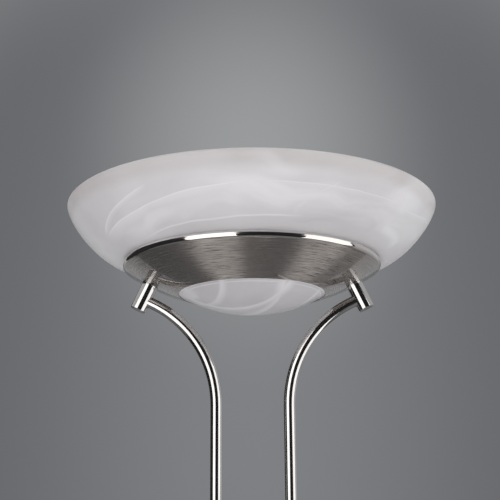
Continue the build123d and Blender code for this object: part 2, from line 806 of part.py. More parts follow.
with BuildPart() as reading_shade:
    with BuildSketch(head_plane):
        with BuildLine():
            neck_bottom = -shade_top - shade_neck_length
            flare = Bezier(
                (shade_radius, -shade_bottom),
                (shade_radius - shade_lip, -shade_bottom + shade_curl),
                (shade_neck_radius, neck_bottom - shade_curl),
                (shade_neck_radius, neck_bottom),
            )
            lining = Bezier(
                (shade_radius - shade_wall, -shade_bottom),
                (shade_radius - shade_lip - shade_wall, -shade_bottom + shade_curl - 1),
                (shade_neck_radius - shade_wall, neck_bottom - shade_curl - 1),
                (shade_neck_radius - shade_wall, neck_bottom),
            )
            Line(flare @ 0, lining @ 0)
            Polyline(
                flare @ 1,
                (shade_neck_radius, -shade_top),
                (shade_hole_radius, -shade_top),
                (shade_hole_radius, -shade_top - shade_wall),
                (shade_neck_radius - shade_wall, -shade_top - shade_wall),
                lining @ 1,
            )
        make_face()
    revolve(axis=head_axis)
finish(reading_shade, "reading_shade")

holder_top = -shade_top + holder_flange + holder_body
cap_inside = -cap_drop - cap_sheet
with BuildPart() as reading_holder:
    with BuildSketch(head_plane):
        with BuildLine():
            Polyline(
                (0, cap_inside),
                (holder_boss_radius, cap_inside),
                (holder_boss_radius, holder_top),
                (holder_radius - holder_bevel, holder_top),
                (holder_radius, holder_top - holder_bevel),
                (holder_radius, -shade_top + holder_flange),
                (holder_flange_radius, -shade_top + holder_flange),
                (holder_flange_radius, -shade_top),
                (holder_radius, -shade_top),
                (holder_radius, holder_top - holder_length),
                (holder_bore_radius, holder_top - holder_length),
                (holder_bore_radius, holder_top - holder_floor),
                (0, holder_top - holder_floor),
                close=True,
            )
        make_face()
    revolve(axis=head_axis)
finish(reading_holder, "reading_holder")

ring_plane = Plane(origin=head_hinge - Vector(0, 0, shade_top + shade_wall + ring_height))
with BuildPart() as shade_ring:
    with BuildSketch(ring_plane):
        Circle(shade_neck_radius - shade_wall - ring_gap)
        Circle(holder_radius + slip, mode=Mode.SUBTRACT)
    extrude(amount=ring_height)
finish(shade_ring, "shade_ring")

bulb_top = holder_top - holder_floor - seat_gap
bulb_neck = holder_top - holder_length - bulb_neck_gap
with BuildPart() as reading_bulb:
    with BuildSketch(head_plane):
        with BuildLine():
            Polyline(
                (0, bulb_top),
                (bulb_contact_radius, bulb_top),
                (bulb_cap_radius, bulb_top - bulb_contact_drop),
                (bulb_cap_radius, bulb_neck),
            )
            ball_centre = -bulb_bottom + bulb_radius
            ball = CenterArc((0, ball_centre), bulb_radius, bulb_cone, -90 - bulb_cone)
            Line((bulb_cap_radius, bulb_neck), ball @ 0)
            Line((0, -bulb_bottom), (0, bulb_top))
        make_face()
    revolve(axis=head_axis)
finish(reading_bulb, "reading_bulb")

# ---------------------------------------------------------------- head: knuckles, pan and glass
for side_name, side in sides.items():
    with BuildPart() as knuckle:
        with BuildSketch(knuckle_plane(side)):
            Circle(knuckle_radius)
        extrude(amount=knuckle_length)
        with BuildSketch(tube_plane(side).offset(tube_end_gap - 2 * slip)):
            Circle(tube_radius + slip)
        extrude(amount=2 * knuckle_radius, mode=Mode.SUBTRACT)
        with BuildSketch(knuckle_plane(side)):
            Circle(nipple_radius + slip)
        extrude(amount=nipple_depth + nipple_run_out, mode=Mode.SUBTRACT)
        with BuildSketch(tube_plane(side)):
            Circle(tube_radius - tube_wall)
        extrude(amount=tube_end_gap, mode=Mode.SUBTRACT)
        with BuildSketch(knuckle_plane(side)):
            Circle(nipple_bore_radius)
        extrude(amount=tube_entry, mode=Mode.SUBTRACT)
        knuckle_axis = Axis(knuckle_plane(side).origin, knuckle_plane(side).z_dir)
        chamfer(faces().sort_by(knuckle_axis)[-1].edges(), length=knuckle_bevel)
    finish(knuckle, "knuckle_" + side_name)

with BuildPart() as pan:
    with BuildSketch(Plane.YZ):
        inner_radius = pan_radius - pan_sheet
        with BuildLine():
            under = wall_curve(pan_mouth_radius, pan_radius)
            inside = wall_curve(pan_mouth_radius, inner_radius, pan_rise)
            Polyline(under @ 1, (pan_radius, pan_top), (inner_radius, pan_top), inside @ 1)
            Line(under @ 0, inside @ 0)
        make_face()
        fillet(vertices().sort_by_distance(under @ 1)[0], radius=pan_shoulder_radius)
        fillet(vertices().sort_by_distance(inside @ 1)[0], radius=pan_shoulder_radius - pan_sheet)
    revolve(axis=Axis.Z)
    for side in sides.values():
        with BuildSketch(knuckle_plane(side)):
            Circle(nipple_radius + thread_slip)
        extrude(amount=4, both=True, mode=Mode.SUBTRACT)
finish(pan, "pan")

# the seat ring nests in the wall, steps up and gives the bowl a level seat
with BuildPart() as seat_ring:
    with BuildSketch(Plane.YZ):
        step_inside = seat_step_radius - seat_sheet
        seat_under = pan_rise + slip
        with BuildLine():
            under = wall_curve(seat_inner_radius, seat_step_radius, seat_under)
            inside = wall_curve(seat_inner_radius, step_inside, seat_under + seat_sheet / cos(slope))
            Polyline(
                under @ 1,
                (seat_step_radius + seat_step_lean, seat_top - seat_sheet),
                (seat_outer_radius, seat_top - seat_sheet),
                (seat_outer_radius, seat_top),
                (step_inside + seat_step_lean, seat_top),
                inside @ 1,
            )
            Line(under @ 0, inside @ 0)
        make_face()
    revolve(axis=Axis.Z)
    for side in sides.values():
        with BuildSketch(knuckle_plane(side)):
            Circle(nipple_radius + thread_slip)
        extrude(amount=-8, mode=Mode.SUBTRACT)
finish(seat_ring, "seat_ring")

with BuildPart() as lens:
    sphere_radius = (lens_radius**2 + lens_sag**2) / (2 * lens_sag)
    lens_bottom = wall_level(pan_mouth_radius) + pan_sheet - lens_sag
    flange_radius = lens_radius + lens_flange
    with BuildSketch(Plane.XZ):
        with BuildLine():
            dome_angle = degrees(asin(lens_radius / sphere_radius))
            dome = JernArc((0, lens_bottom), (1, 0), sphere_radius, dome_angle)
            inside = JernArc((0, lens_bottom + lens_wall), (1, 0), sphere_radius - lens_wall, dome_angle)
            Polyline(
                dome @ 1,
                (pan_mouth_radius + 1, wall_level(pan_mouth_radius + 1) + pan_rise + slip),
                (flange_radius, wall_level(flange_radius) + pan_rise + slip),
                (flange_radius, wall_level(flange_radius) + pan_rise + lens_wall),
                inside @ 1,
            )
            Line(inside @ 0, dome @ 0)
        make_face()
    revolve(axis=Axis.Z)
finish(lens, "lower_glass")

with BuildPart() as bowl_pads:
    with BuildSketch(Plane.XY.offset(seat_top)):
        with PolarLocations(pad_pitch_radius, pad_count, start_angle=45):
            Rectangle(pad_width, pad_length)
    extrude(amount=pad_height)
finish(bowl_pads, "bowl_pads")

heel_radius = pan_radius - pan_sheet - bowl_heel_gap
bowl_floor = rim_height - bowl_depth - 0.1
rim_start = rim_height - bowl_rim_bevel
with BuildPart() as bowl:
    with BuildSketch(Plane.XZ):
        with BuildLine():
            outside = Bezier(
                (bowl_radius, rim_start),
                (bowl_radius + bowl_swell, rim_height - bowl_swell_drop),
                (bowl_foot_radius + bowl_foot_reach, rim_height - bowl_depth + bowl_foot_rise),
                (bowl_foot_radius, rim_height - bowl_depth),
            )
            inside = Bezier(
                (bowl_radius - bowl_wall, rim_start),
                (bowl_radius + bowl_swell - bowl_wall, rim_height - bowl_swell_drop),
                (bowl_foot_radius + bowl_foot_reach - 2 * bowl_wall, bowl_floor),
                (bowl_foot_radius - 3 * bowl_wall, bowl_floor),
            )
            Polyline(
                outside @ 0,
                (bowl_radius - bowl_rim_bevel, rim_height),
                (bowl_radius - bowl_wall + bowl_rim_bevel, rim_height),
                inside @ 0,
            )
            Polyline(
                outside @ 1,
                (heel_radius, rim_height - bowl_depth - 0.15),
                (heel_radius, bowl_heel_bottom + bowl_rim_bevel),
                (heel_radius - bowl_rim_bevel, bowl_heel_bottom),
                (bowl_hole_radius, bowl_heel_bottom),
                (bowl_hole_radius, bowl_floor),
                inside @ 1,
            )
        make_face()
    revolve(axis=Axis.Z)
finish(bowl, "bowl")

# ---------------------------------------------------------------- head: clamping and lamp
clamp_inside = -pan_sheet - seat_sheet - 2 * slip
foot_reach = washer_radius + bracket_foot_margin
foot_lift = (slip + wall_bow * foot_reach**2 / 2
             + bracket_width**2 * sin(knuckle_slope) / (8 * knuckle_pitch_radius))
washer_level = clamp_inside - foot_lift - bracket_sheet
nut_level = washer_level - washer_sheet
inward = [Plane(origin=knuckle_plane(s).offset(washer_level).origin, z_dir=-knuckle_plane(s).z_dir)
          for s in sides.values()]
ring_stack("head_washers", inward, washer_radius, nipple_radius + slip, washer_sheet)
ring_stack("head_nuts", [plane.offset(washer_sheet) for plane in inward], nut_width / 2,
           nipple_radius + slip, nut_height, hexagon=True)
nipple_top = nut_level - nut_height - nipple_stand_out
nipple_planes = [knuckle_plane(s).offset(nipple_top) for s in sides.values()]
ring_stack("head_nipples", nipple_planes, nipple_radius, nipple_bore_radius, nipple_depth - nipple_top)

# folded strip: its feet lie under the nuts, its flat top stands in the bowl's hole
foot_start = knuckle_plane(1).offset(clamp_inside - foot_lift).origin
foot_run = Vector(cos(knuckle_slope), 0, sin(knuckle_slope))
foot_out = foot_start + foot_run * bracket_foot
foot_in = foot_start - foot_run * (washer_radius + bracket_bend + bracket_foot_margin)
bracket_top = rim_height - bracket_drop
with BuildPart() as lamp_bracket:
    with BuildSketch(Plane.XZ):
        half = [
            (foot_out.X, foot_out.Z),
            (foot_in.X, foot_in.Z),
            (bracket_half_span + bracket_leg_splay, foot_in.Z + bracket_leg_rise),
            (bracket_half_span, bracket_top - bracket_sheet),
        ]
        add(
            sheet_section(
                [(-x, z) for x, z in half] + [(x, z) for x, z in reversed(half)],
                bracket_bend,
                bracket_sheet,
            )
        )
    extrude(amount=bracket_width / 2, both=True)
    for side in sides.values():
        with BuildSketch(knuckle_plane(side)):
            Circle(nipple_radius + thread_slip)
        extrude(amount=-10, mode=Mode.SUBTRACT)
    block_x = lamp_length / 2 + block_length / 2 - lamp_pinch
    with BuildSketch(Plane.XY.offset(bracket_top)):
        with Locations((-block_x, 0), (block_x, 0)):
            Circle(block_screw_radius + slip)
    extrude(amount=-2 * bracket_sheet, mode=Mode.SUBTRACT)
finish(lamp_bracket, "lamp_bracket")

lamp_level = bracket_top + lamp_rise
with BuildPart() as lamp_blocks:
    for side in sides.values():
        with BuildSketch(Plane.XY.offset(bracket_top)):
            with Locations((side * block_x, 0)):
                Rectangle(block_length, block_width)
        extrude(amount=block_height)
    fillet(edges().filter_by(Axis.Z), radius=block_corner)
    for side in sides.values():
        inner_face = Plane(origin=(side * (block_x - block_length / 2), 0, lamp_level), z_dir=(side, 0, 0))
        with BuildSketch(inner_face):
            Circle(lamp_seal_radius + lamp_pinch_gap)
        extrude(amount=lamp_pinch + seat_gap, mode=Mode.SUBTRACT)
        with BuildSketch(Plane.XY.offset(bracket_top)):
            with Locations((side * block_x, 0)):
                Circle(block_screw_radius + slip)
        extrude(amount=block_screw_depth + seat_gap, mode=Mode.SUBTRACT)
finish(lamp_blocks, "lamp_blocks")

with BuildPart() as block_screws:
    for side in sides.values():
        with BuildSketch(Plane.XY.offset(bracket_top - bracket_sheet)):
            with Locations((side * block_x, 0)):
                Circle(block_screw_radius)
        extrude(amount=bracket_sheet + block_screw_depth)
        with BuildSketch(Plane.XY.offset(bracket_top - bracket_sheet)):
            with Locations((side * block_x, 0)):
                Circle(block_screw_head_radius)
        extrude(amount=-block_screw_head)
finish(block_screws, "block_screws")

with BuildPart() as halogen_lamp:
    with BuildSketch(Plane.XZ):
        tube_half = lamp_length / 2 - lamp_seal_length
        with BuildLine():
            Polyline(
                (-lamp_length / 2, lamp_level),
                (-lamp_length / 2, lamp_level + lamp_seal_radius),
                (-tube_half, lamp_level + lamp_seal_radius),
                (-tube_half, lamp_level + lamp_radius),
                (tube_half, lamp_level + lamp_radius),
                (tube_half, lamp_level + lamp_seal_radius),
                (lamp_length / 2, lamp_level + lamp_seal_radius),
                (lamp_length / 2, lamp_level),
                close=True,
            )
        make_face()
    revolve(axis=Axis((0, 0, lamp_level), (1, 0, 0)))
finish(halogen_lamp, "halogen_lamp")
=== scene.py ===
"""Torchiere floor lamp with a reading light: finishes, small fittings, light and camera.

Everything is in metres, in the lamp's own frame: the floor is z = 0, the stem's centre line is
the Z axis, and the front, where the knobs are, is -Y.
"""

import json
import math

import bpy
import numpy as np
from mathutils import Euler, Matrix, Vector


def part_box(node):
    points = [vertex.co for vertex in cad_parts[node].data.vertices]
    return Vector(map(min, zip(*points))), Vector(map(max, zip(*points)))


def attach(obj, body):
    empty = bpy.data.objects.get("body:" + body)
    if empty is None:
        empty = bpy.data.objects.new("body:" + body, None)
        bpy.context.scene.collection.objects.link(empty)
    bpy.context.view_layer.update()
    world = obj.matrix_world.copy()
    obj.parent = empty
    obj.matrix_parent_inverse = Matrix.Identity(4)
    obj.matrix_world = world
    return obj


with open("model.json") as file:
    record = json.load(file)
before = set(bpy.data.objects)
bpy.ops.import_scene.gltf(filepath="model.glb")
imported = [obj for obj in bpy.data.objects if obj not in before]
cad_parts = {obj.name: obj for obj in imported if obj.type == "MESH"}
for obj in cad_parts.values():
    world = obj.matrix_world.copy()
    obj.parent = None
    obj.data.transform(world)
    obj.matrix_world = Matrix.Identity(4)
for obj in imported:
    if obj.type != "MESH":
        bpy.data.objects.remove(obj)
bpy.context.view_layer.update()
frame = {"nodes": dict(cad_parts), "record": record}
nodes = frame["nodes"]
scene = bpy.context.scene

MM = 0.001
RIM_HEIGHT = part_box("bowl")[1][2]
HEAD_HINGE = tuple((low + high) / 2 for low, high in zip(*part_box("head_pivot")))
LAMP_MIDDLE = tuple((low + high) / 2 for low, high in zip(*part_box("halogen_lamp")))
SMOOTH = {"interpolation_type": "SMOOTHSTEP"}


# ---------------------------------------------------------------- nodes and colours
def linear(hex_code):
    """sRGB hex to linear RGBA, by the sRGB curve"""
    parts = [int(hex_code[i:i + 2], 16) / 255 for i in (1, 3, 5)]
    curve = [c / 12.92 if c <= 0.04045 else ((c + 0.055) / 1.055) ** 2.4 for c in parts]
    return (*curve, 1.0)


def feed(tree, node, inputs):
    """gives a node's inputs other nodes' sockets, or plain values, with colours as hex"""
    for key, value in inputs.items():
        if isinstance(value, bpy.types.NodeSocket):
            tree.links.new(value, node.inputs[key])
        else:
            node.inputs[key].default_value = linear(value) if isinstance(value, str) else value


def add(tree, kind, inputs, output=0, stops=(), **settings):
    """adds a node with its settings and inputs and gives back one output; stops are a colour
    ramp's positions and colours"""
    node = tree.nodes.new("ShaderNode" + kind)
    for key, value in settings.items():
        setattr(node, key, value)
    for index, (position, colour) in enumerate(stops):
        elements = node.color_ramp.elements  # a new ramp has two
        element = elements[index] if index < len(elements) else elements.new(position)
        element.position = position
        element.color = linear(colour)
    feed(tree, node, inputs)
    return node.outputs[output] if node.outputs else node


def bare(name):
    """a new material with one shader, and nothing else yet"""
    material = bpy.data.materials.new(name)
    material.use_nodes = True
    tree = material.node_tree
    tree.nodes.clear()
    shader = tree.nodes.new("ShaderNodeBsdfPrincipled")
    add(tree, "OutputMaterial", {"Surface": shader.outputs[0]})
    return material, tree, shader


def measured_from(tree, centre, scale=(1, 1, 1), turn=(0, 0, 0)):
    """place on the object, in metres from a centre, then turned and scaled"""
    place = add(tree, "TexCoord", {}, "Object")
    moved = add(tree, "VectorMath", {0: place, 1: centre}, operation="SUBTRACT")
    return add(tree, "Mapping", {"Vector": moved, "Rotation": turn, "Scale": scale})


def about_axis(tree, centre):
    """radius from the upright axis through a centre, turn about it from the front, height over the
    centre, and the outward direction in the world"""
    local = measured_from(tree, centre)
    x, y, z = (add(tree, "SeparateXYZ", {0: local}, name) for name in "XYZ")
    outward = add(tree, "CombineXYZ", {"X": x, "Y": y})
    radius = add(tree, "VectorMath", {0: outward}, "Value", operation="LENGTH")
    back = add(tree, "Math", {0: y, 1: -1.0}, operation="MULTIPLY")
    turn = add(tree, "Math", {0: x, 1: back}, operation="ARCTAN2")
    outward = add(tree, "VectorTransform", {0: outward}, vector_type="VECTOR",
                  convert_from="OBJECT", convert_to="WORLD")
    return radius, turn, z, outward


# ---------------------------------------------------------------- metals
BRIGHT_LAND, SCRATCH, BUFFED_LIP = 0.05, 0.56, 0.07  # roughness
LIP_BLEND = 0.6 * MM  # the width over which the brushing ends at the lip
SCRATCH_LENGTH = 25 * MM  # of the straight ones
RISE_SHARE = 0.8  # how much a step in height counts beside a step in radius
LACQUER = {"Coat Weight": 1.0, "Coat Roughness": 0.03, "Coat IOR": 1.6}


def satin_nickel(name, centre=(0, 0, 0), grit=0.3 * MM, lip=None, straight=False, rounds=5.0):
    """Nickel plate over brushed metal, lacquered clear: brushed in rings while it spins, or
    straight along X.  Scratches spread a reflection across them, into a fan on a spun part; the
    bright lands left between them, and the lacquer, mirror what stands close.  A grit is a third
    of the scratches' spacing, which is drawn coarser than the real 0.1 mm or less, so that it
    shows; rounds says how often the scratches change in one radian of turn.  A pan's lip is
    buffed bright: from that radius outwards."""
    material, tree, shader = bare(name)
    if straight:
        local = measured_from(tree, centre)
        x, y, z = (add(tree, "SeparateXYZ", {0: local}, axis) for axis in "XYZ")
        # down the upright faces, and from front to back on the level ones
        level = add(tree, "SeparateXYZ", {0: add(tree, "TexCoord", {}, "Normal")}, "Z")
        level = add(tree, "Math", {0: level}, operation="ABSOLUTE")
        across = add(tree, "Math", {0: y, 1: level, 2: z}, operation="MULTIPLY_ADD")
        along = add(tree, "Math", {0: x, 1: 1 / SCRATCH_LENGTH}, operation="MULTIPLY")
        tangent = add(tree, "VectorTransform", {0: (0, 0, 1)}, vector_type="VECTOR",
                      convert_from="OBJECT", convert_to="WORLD")
    else:
        radius, turn, height, tangent = about_axis(tree, centre)
        across = add(tree, "Math", {0: height, 1: RISE_SHARE, 2: radius}, operation="MULTIPLY_ADD")
        along = add(tree, "Math", {0: turn, 1: rounds}, operation="MULTIPLY")
    place = add(tree, "CombineXYZ", {"X": across})
    fine = add(tree, "TexNoise", {"Vector": place, "Scale": 0.5 / grit, "Detail": 2.0}, "Fac")
    wide_across = add(tree, "Math", {0: across, 1: 0.35 / grit}, operation="MULTIPLY")
    place = add(tree, "CombineXYZ", {"X": wide_across, "Y": along})
    wide = add(tree, "TexNoise", {"Vector": place, "Scale": 1.0, "Detail": 4.0,
                                  "Roughness": 0.65}, "Fac")
    grain = add(tree, "Mix", {"Factor": 0.6, 2: fine, 3: wide}, 0)
    colour = add(tree, "ValToRGB", {"Fac": grain},
                 stops=[(0.36, "#A9A19C"), (0.48, "#C2B9B3"), (0.60, "#E8E0D9")])
    rough = add(tree, "MapRange", {"Value": grain, "From Min": 0.42, "From Max": 0.50,
                                   "To Min": BRIGHT_LAND, "To Max": SCRATCH})
    if lip:
        buffed = add(tree, "MapRange", {"Value": radius, "From Min": lip,
                                        "From Max": lip + LIP_BLEND})
        colour = add(tree, "Mix", {0: buffed, 6: colour, 7: "#DCD6D1"}, 2, data_type="RGBA")
        rough = add(tree, "Mix", {0: buffed, 2: rough, 3: BUFFED_LIP}, 0)
        grain = add(tree, "Mix", {0: buffed, 2: grain, 3: 0.5}, 0)
    relief = add(tree, "Bump", {"Height": grain, "Strength": 0.6, "Distance": 0.03 * grit})
    feed(tree, shader, {"Base Color": colour, "Roughness": rough, "Metallic": 1.0,
                        "Anisotropic": 1.0, "Tangent": tangent, "Normal": relief, **LACQUER})
    return material


def buffed_nickel(name):
    """Nickel plate buffed bright over drawn steel tube: a mirror, with faint lines along the tube
    some 0.4 mm apart and a thin haze of handling."""
    material, tree, shader = bare(name)
    place = measured_from(tree, (0, 0, 0))
    haze = add(tree, "TexNoise", {"Vector": place, "Scale": 25.0, "Detail": 4.0}, "Fac")
    place = measured_from(tree, (0, 0, 0), (1 / (0.4 * MM), 1 / (0.4 * MM), 30.0))
    lines = add(tree, "TexNoise", {"Vector": place, "Scale": 1.0, "Detail": 2.0}, "Fac")
    colour = add(tree, "ValToRGB", {"Fac": haze}, stops=[(0.30, "#CFCBC8"), (0.70, "#DBD9D7")])
    hazy = add(tree, "Math", {0: haze, 1: 0.05, 2: 0.02}, operation="MULTIPLY_ADD")
    rough = add(tree, "Math", {0: lines, 1: 0.015, 2: hazy}, operation="MULTIPLY_ADD")
    relief = add(tree, "Bump", {"Height": lines, "Strength": 0.3, "Distance": 0.0005 * MM})
    feed(tree, shader, {"Base Color": colour, "Roughness": rough, "Metallic": 1.0,
                        "Normal": relief})
    return material


def bright_zinc(name):
    """Bright zinc plate on stampings and screws: cool grey spangle 1.2 mm across, dull in the
    hollows, with a yellowish passivation in clouds about three times as wide."""
    material, tree, shader = bare(name)
    place = measured_from(tree, (0, 0, 0))
    clouds = add(tree, "TexNoise", {"Vector": place, "Scale": 0.35 / (1.2 * MM),
                                    "Detail": 5.0}, "Fac")
    spangle = add(tree, "TexVoronoi", {"Vector": place, "Scale": 1 / (1.2 * MM)}, "Distance")
    colour = add(tree, "ValToRGB", {"Fac": clouds},
                 stops=[(0.30, "#94938E"), (0.55, "#B5B4AE"), (0.75, "#C6C5C2")])
    rough = add(tree, "Math", {0: clouds, 1: 0.22, 2: 0.20}, operation="MULTIPLY_ADD")
    relief = add(tree, "Bump", {"Height": spangle, "Strength": 0.4, "Distance": 0.02 * MM})
    feed(tree, shader, {"Base Color": colour, "Roughness": rough, "Metallic": 1.0,
                        "Normal": relief})
    return material


def turned_brass(name):
    """Yellow brass, turned and left bare: lathe lines 0.4 mm apart with brown oxide between."""
    material, tree, shader = bare(name)
    place = measured_from(tree, (0, 0, 0), (40.0, 40.0, 1 / (0.4 * MM)))
    lines = add(tree, "TexNoise", {"Vector": place, "Scale": 1.0, "Detail": 3.0}, "Fac")
    colour = add(tree, "ValToRGB", {"Fac": lines}, stops=[(0.30, "#9C7A3A"), (0.70, "#D9B566")])
    rough = add(tree, "Math", {0: lines, 1: 0.2, 2: 0.2}, operation="MULTIPLY_ADD")
    relief = add(tree, "Bump", {"Height": lines, "Strength": 0.6, "Distance": 0.02 * MM})
    feed(tree, shader, {"Base Color": colour, "Roughness": rough, "Metallic": 1.0,
                        "Normal": relief})
    return material


def sand_cast_iron(name):
    """Grey iron cast in sand and dipped in black primer: grain 1.1 mm, pits 3 mm apart."""
    material, tree, shader = bare(name)
    place = measured_from(tree, (0, 0, 0))
    grain = add(tree, "TexNoise", {"Vector": place, "Scale": 1 / (1.1 * MM),
                                   "Detail": 4.0}, "Fac")
    pits = add(tree, "TexVoronoi", {"Vector": place, "Scale": 1 / (3.0 * MM)}, "Distance")
    colour = add(tree, "ValToRGB", {"Fac": grain}, stops=[(0.30, "#1B1B1C"), (0.70, "#38383A")])
    rough = add(tree, "Math", {0: grain, 1: 0.25, 2: 0.6}, operation="MULTIPLY_ADD")
    rubble = add(tree, "Math", {0: grain, 1: pits}, operation="ADD")
    relief = add(tree, "Bump", {"Height": rubble, "Strength": 0.7, "Distance": 0.3 * MM})
    feed(tree, shader, {"Base Color": colour, "Roughness": rough, "Normal": relief})
    return material


# ---------------------------------------------------------------- glass and ceramic
TRAIL = 0.55  # how strong the fading side of a vein is beside the vein itself
VEIN_ENDS = 0.15  # the share of a vein's length behind, times that ahead, where it fades out
GLASS_CLOUDS = [(0.32, "#C5C2C4"), (0.50, "#CFCCCE"), (0.68, "#D5D3D4")]
# GLASS_FOOT_SHADE is a painted shade: the grey that the bowl is mixed towards under its foot's
# height, where the pan below shades it
GLASS_PALE_AND_HIGHLIGHT, GLASS_THIN, GLASS_RIM, GLASS_FOOT_SHADE = "#EDEBED", "#A8A5A7", "#BDB7B6", "#B4B0B2"
RIM_BLEND, FOOT_BLEND = 5 * MM, 1 * MM  # either side of the height where the shade begins
# painted highlight: bright lines painted inside the small glass's edge, for light caught in the
# clear casing's edge
CASING_HIGHLIGHTS = [(0.0, 0.95), (3.6 * MM, 0.45)]  # how far inside the edge, and how strong


def drawn_line(tree, offset, over, under, strength):
    """a soft line where an offset in metres is 0: its strength there, fading to nothing at a width
    over the line and at another under it"""
    fade = {"Value": offset, "To Min": strength, "To Max": 0.0}
    upper = add(tree, "MapRange", {**fade, "From Max": over}, **SMOOTH)
    lower = add(tree, "MapRange", {**fade, "From Max": -under}, **SMOOTH)
    return add(tree, "Math", {0: upper, 1: lower}, operation="MINIMUM")


def alabaster_glass(name, centre, cloud, veins=(), swirls=(), rim=None, foot=None, edge=None,
                    thin=0.0):
    """White alabaster glass: an opal layer marbled while soft, cased in clear and etched satin
    outside.  It has clouds of a given width in metres and paler streaks drawn out round the axis.
    A vein is a start and an end turn in degrees from the front, its height at the start, its
    rise and its bow; a swirl is a circle in plan; each has a width over it and one under it, where
    it fades, and a strength.  Over the rim's height the glass is warmer and streaked, under the
    foot's height it is painted greyer as a painted shade from the pan below, and at the edge's
    radius bright lines are painted as a painted highlight on the clear casing's edge.  Thin
    glass, from 0 to 1, is greyer, because less of the light comes back."""
    material, tree, shader = bare(name)
    radius, turn, height = about_axis(tree, centre)[:3]
    local = measured_from(tree, centre)
    swirl = add(tree, "TexNoise", {"Vector": local, "Scale": 0.6 / cloud, "Detail": 3.0}, "Color")
    swirled = add(tree, "VectorMath", {0: swirl, 1: (cloud, cloud, cloud), 2: local},
                  operation="MULTIPLY_ADD")
    clouds = add(tree, "TexNoise", {"Vector": swirled, "Scale": 0.7 / cloud, "Detail": 4.0,
                                    "Roughness": 0.5, "Distortion": 0.6}, "Fac")
    drawn = add(tree, "Mapping", {"Vector": swirled, "Scale": (1, 1, 5),
                                  "Rotation": (0.18, -0.25, 0)})
    streaks = add(tree, "TexNoise", {"Vector": drawn, "Scale": 0.45 / cloud, "Detail": 3.0,
                                     "Roughness": 0.5, "Distortion": 0.3}, "Fac")
    pale_and_highlight = add(tree, "MapRange", {"Value": streaks, "From Min": 0.48, "From Max": 0.70,
                                  "To Max": 0.50}, **SMOOTH)
    wander = add(tree, "TexNoise", {"Vector": local, "Scale": 1.5 / cloud, "Detail": 2.0}, "Fac")
    wander = add(tree, "Math", {0: wander, 1: 0.04 * cloud, 2: -0.02 * cloud},
                 operation="MULTIPLY_ADD")
    level = add(tree, "Math", {0: height, 1: wander}, operation="SUBTRACT")
    for start, end, low, rise, bow, over, under, strength in veins:
        share = add(tree, "MapRange", {"Value": turn, "From Min": math.radians(start),
                                       "From Max": math.radians(end)})
        rest = add(tree, "Math", {0: 1.0, 1: share}, operation="SUBTRACT")
        both = add(tree, "Math", {0: share, 1: rest}, operation="MULTIPLY")
        line = add(tree, "Math", {0: share, 1: rise, 2: low}, operation="MULTIPLY_ADD")
        line = add(tree, "Math", {0: both, 1: 4 * bow, 2: line}, operation="MULTIPLY_ADD")
        offset = add(tree, "Math", {0: level, 1: line}, operation="SUBTRACT")
        thread = drawn_line(tree, offset, over, over, strength)
        trail = drawn_line(tree, offset, over, under, TRAIL * strength)
        vein = add(tree, "Math", {0: thread, 1: trail}, operation="MAXIMUM")
        inside = add(tree, "MapRange", {"Value": both, "From Max": VEIN_ENDS}, **SMOOTH)
        vein = add(tree, "Math", {0: vein, 1: inside}, operation="MULTIPLY")
        pale_and_highlight = add(tree, "Math", {0: pale_and_highlight, 1: vein}, operation="MAXIMUM")
    flat = add(tree, "VectorMath", {0: local, 1: (1, 1, 0)}, operation="MULTIPLY")
    for x, y, reach, over, under, strength in swirls:
        away = add(tree, "VectorMath", {0: flat, 1: (x, y, 0)}, "Value", operation="DISTANCE")
        offset = add(tree, "Math", {0: away, 1: reach}, operation="SUBTRACT")
        offset = add(tree, "Math", {0: offset, 1: wander}, operation="ADD")
        band = drawn_line(tree, offset, over, under, strength)
        pale_and_highlight = add(tree, "Math", {0: pale_and_highlight, 1: band}, operation="MAXIMUM")
    colour = add(tree, "ValToRGB", {"Fac": clouds}, stops=GLASS_CLOUDS)
    if thin:
        colour = add(tree, "Mix", {0: thin, 6: colour, 7: GLASS_THIN}, 2, data_type="RGBA")
    if rim:
        shade = add(tree, "MapRange", {"Value": level, "From Min": rim - RIM_BLEND,
                                       "From Max": rim + RIM_BLEND, "To Max": 1.3}, **SMOOTH)
        shade = add(tree, "Math", {0: shade, 1: streaks}, operation="MULTIPLY")
        colour = add(tree, "Mix", {0: shade, 6: colour, 7: GLASS_RIM}, 2, data_type="RGBA")
    # painted shade: under the foot's height the glass is mixed towards a grey, for the shade of
    # the pan below
    if foot:
        shade = add(tree, "MapRange", {"Value": level, "From Min": foot - FOOT_BLEND,
                                       "From Max": foot + FOOT_BLEND, "To Min": 0.10,
                                       "To Max": 0.0}, **SMOOTH)
        colour = add(tree, "Mix", {0: shade, 6: colour, 7: GLASS_FOOT_SHADE}, 2, data_type="RGBA")
    # painted highlight: bright lines at the edge's radius stand in for the light caught in the
    # clear casing's edge
    if edge:
        for inset, strength in CASING_HIGHLIGHTS:
            offset = add(tree, "Math", {0: radius, 1: edge - inset}, operation="SUBTRACT")
            casing = drawn_line(tree, offset, 1.2 * MM, 0.9 * MM, strength)
            pale_and_highlight = add(tree, "Math", {0: pale_and_highlight, 1: casing}, operation="MAXIMUM")
    # the glass's pale streaks, veins and swirls, and the painted highlight at the edge where one
    # is given, are mixed in as one pale colour
    colour = add(tree, "Mix", {0: pale_and_highlight, 6: colour, 7: GLASS_PALE_AND_HIGHLIGHT}, 2, data_type="RGBA")
    rough = add(tree, "Math", {0: clouds, 1: 0.10, 2: 0.32}, operation="MULTIPLY_ADD")
    ripple = add(tree, "TexNoise", {"Vector": local, "Scale": 28.0, "Detail": 2.0}, "Fac")
    relief = add(tree, "Bump", {"Height": ripple, "Strength": 0.5, "Distance": 0.4 * MM})
    feed(tree, shader, {"Base Color": colour, "Roughness": rough, "Normal": relief, "IOR": 1.5,
                        "Subsurface Weight": 0.35, "Subsurface Radius": (1.0, 0.95, 0.9),
                        "Subsurface Scale": 6 * MM, "Coat Weight": 0.15, "Coat Roughness": 0.18})
    return material


